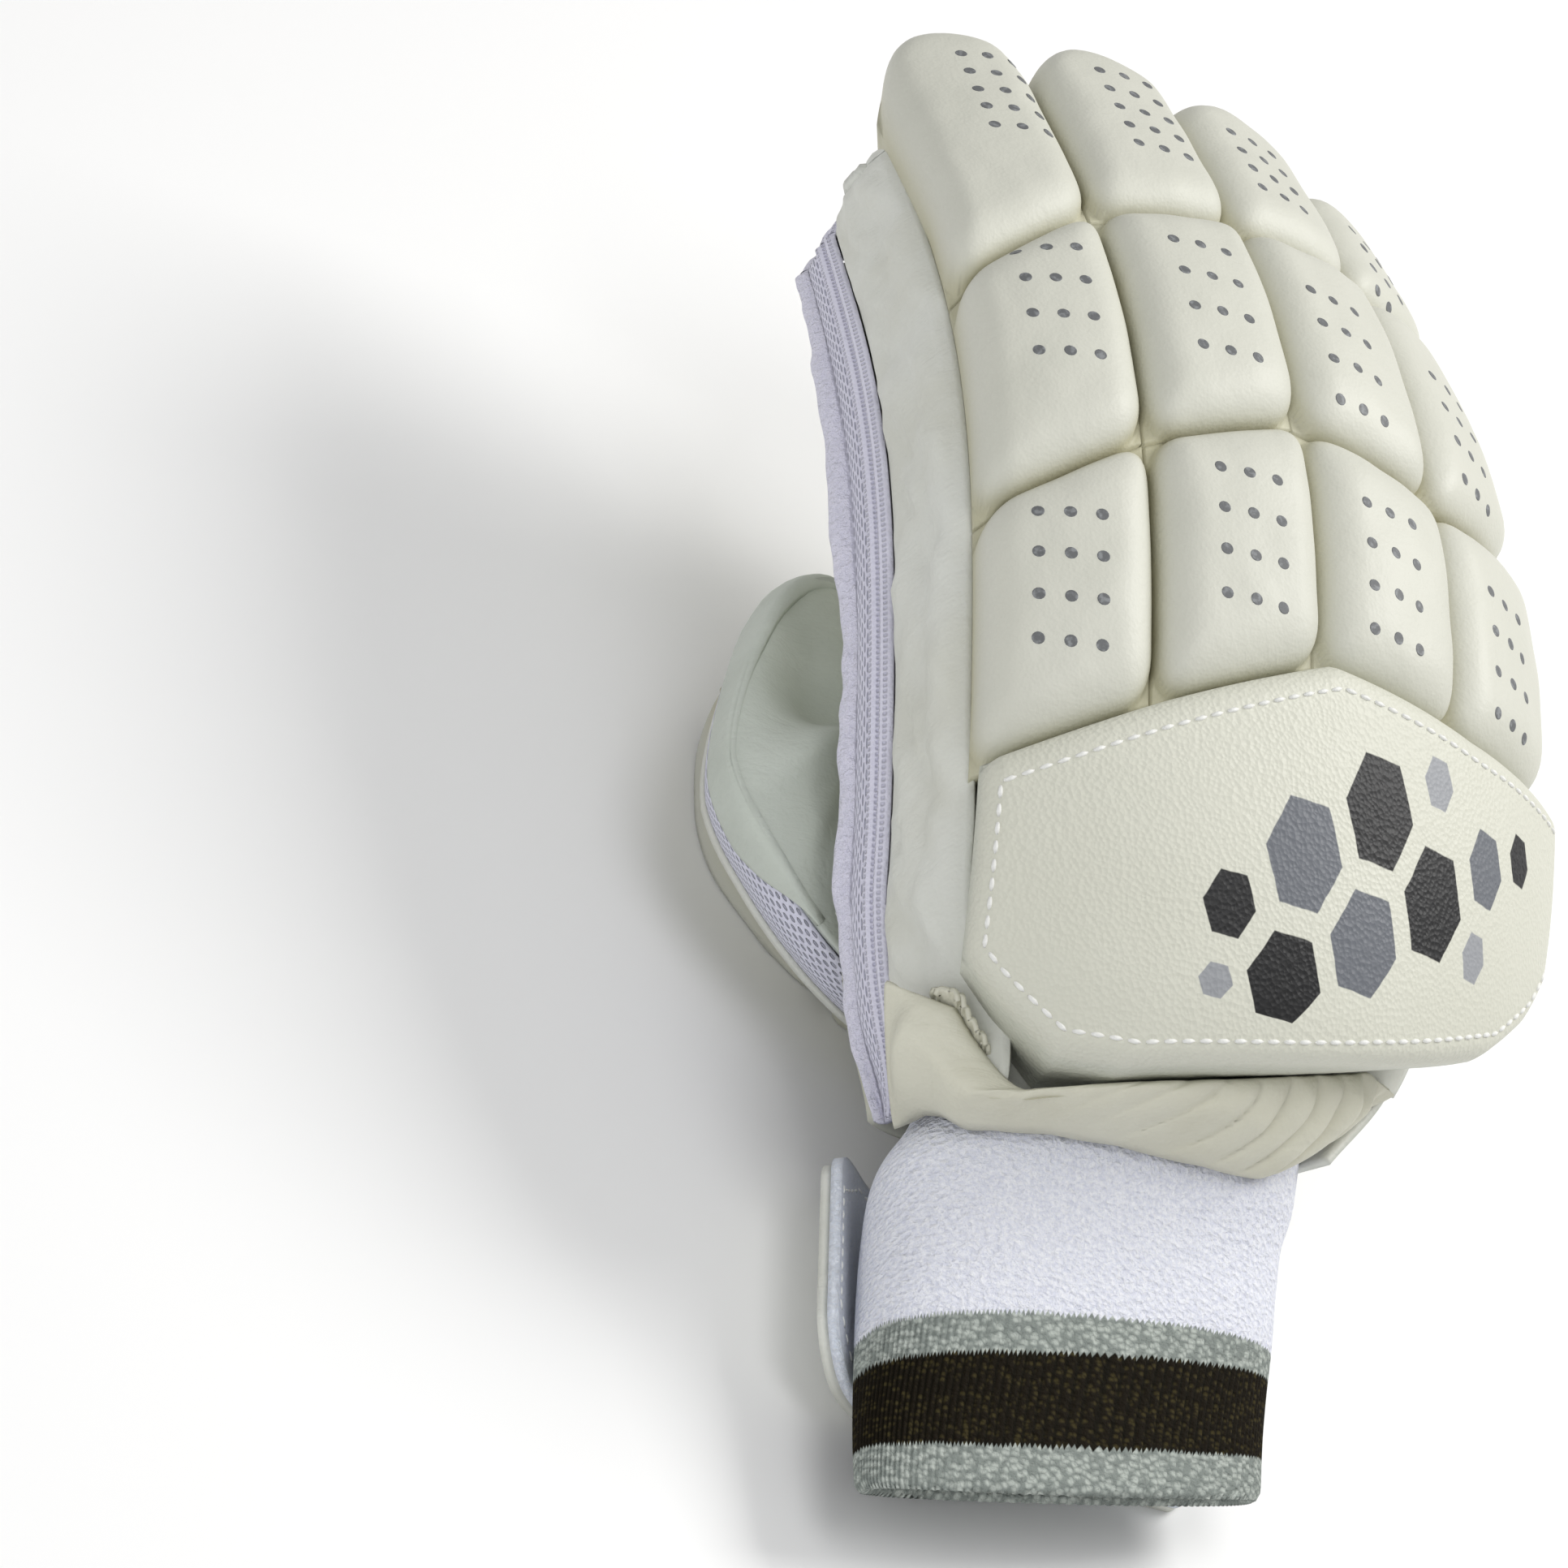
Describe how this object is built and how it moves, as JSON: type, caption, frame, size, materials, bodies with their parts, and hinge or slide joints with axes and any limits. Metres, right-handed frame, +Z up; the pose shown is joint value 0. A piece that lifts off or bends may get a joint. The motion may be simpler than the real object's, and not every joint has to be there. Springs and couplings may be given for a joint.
{
  "type": "cricket batting glove",
  "caption": "Left-hand cricket batting glove: rounded foam pads over the fingers, a padded wrist guard, a folded-under thumb, knitted cuff and strap, hollow for the hand.",
  "frame": {"origin": "middle of the glove's outline, on the floor it lies on", "axes": "+Y from the cuff to the fingertips, +Z up off the back of the hand, -X towards the little finger"},
  "size_m": [0.135, 0.2718, 0.1257],
  "materials": {
    "pad_leather": "soft satin",
    "guard_leather": "finely pebbled, satin",
    "palm_leather": "matt",
    "hand_leather": "satin",
    "mesh": "knitted mesh",
    "knit": "ribbed knit in white, grey and dark bands",
    "strap": "satin",
    "felt": "brushed felt"
  },
  "bodies": {
    "root": {"pad_little_knuckle": "pad_leather", "pad_little_middle": "pad_leather", "pad_little_tip": "pad_leather", "pad_ring_knuckle": "pad_leather", "pad_ring_middle": "pad_leather", "pad_ring_tip": "pad_leather", "pad_middle_knuckle": "pad_leather", "pad_middle_middle": "pad_leather", "pad_middle_tip": "pad_leather", "pad_index_knuckle": "pad_leather", "pad_index_middle": "pad_leather", "pad_index_tip": "pad_leather", "wrist_guard": "guard_leather", "palm_leather": "palm_leather", "back_leather": "hand_leather", "ulnar_gusset": "mesh", "side_leather": "hand_leather", "fourchette_little_ring": "mesh", "fourchette_ring_middle": "mesh", "fourchette_middle_index": "mesh", "radial_gusset": "mesh", "wrist_roll": "hand_leather", "wrist_cuff": "knit", "strap_leather": "strap", "strap_lining": "felt", "thumb_leather": "palm_leather", "thumb_back": "hand_leather", "thumb_gusset": "mesh", "thumb_pad_base": "pad_leather", "thumb_pad_tip": "pad_leather"}
  },
  "joints": []
}
